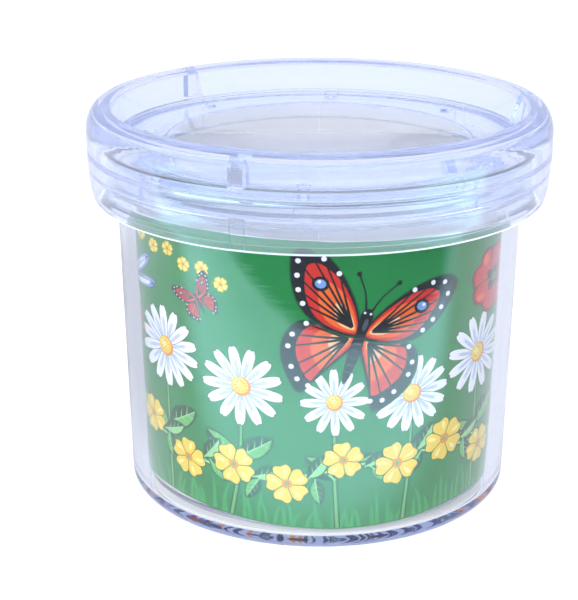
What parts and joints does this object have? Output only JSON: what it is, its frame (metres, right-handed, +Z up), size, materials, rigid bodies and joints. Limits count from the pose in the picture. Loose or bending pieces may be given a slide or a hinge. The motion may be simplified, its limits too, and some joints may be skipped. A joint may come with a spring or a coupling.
{
  "type": "bug catcher jar",
  "caption": "Clear double-walled cup with a paper label between its walls, and a clear press-on lid with a magnifying lens and air vents, for catching and viewing insects.",
  "frame": {"origin": "centre of the circle that the jar stands on, at table level", "axes": "+Z up along the jar's axis through the lens, -Y towards the front of the label, +X to the right of it"},
  "size_m": [0.0746, 0.0746, 0.064],
  "materials": {
    "clear_cup": "polished clear polystyrene, faint blue",
    "printed_label": "coated paper, green print outside, white inside",
    "printed_card": "coated paper with a measuring grid",
    "clear_liner": "polished clear polystyrene",
    "clear_lid": "polished clear polystyrene, pale lavender blue",
    "clear_lens": "polished clear acrylic lens"
  },
  "bodies": {
    "jar": {"outer_jar": "clear_cup", "label_wrap": "printed_label", "base_card": "printed_card", "inner_cup": "clear_liner"},
    "lid": {"lid_cap": "clear_lid", "magnifier_lens": "clear_lens"}
  },
  "joints": [
    {"name": "lid_lift", "type": "slide", "parent": "jar", "child": "lid", "axis": [0, 0, 1], "range_m": [0, 0.045]}
  ]
}
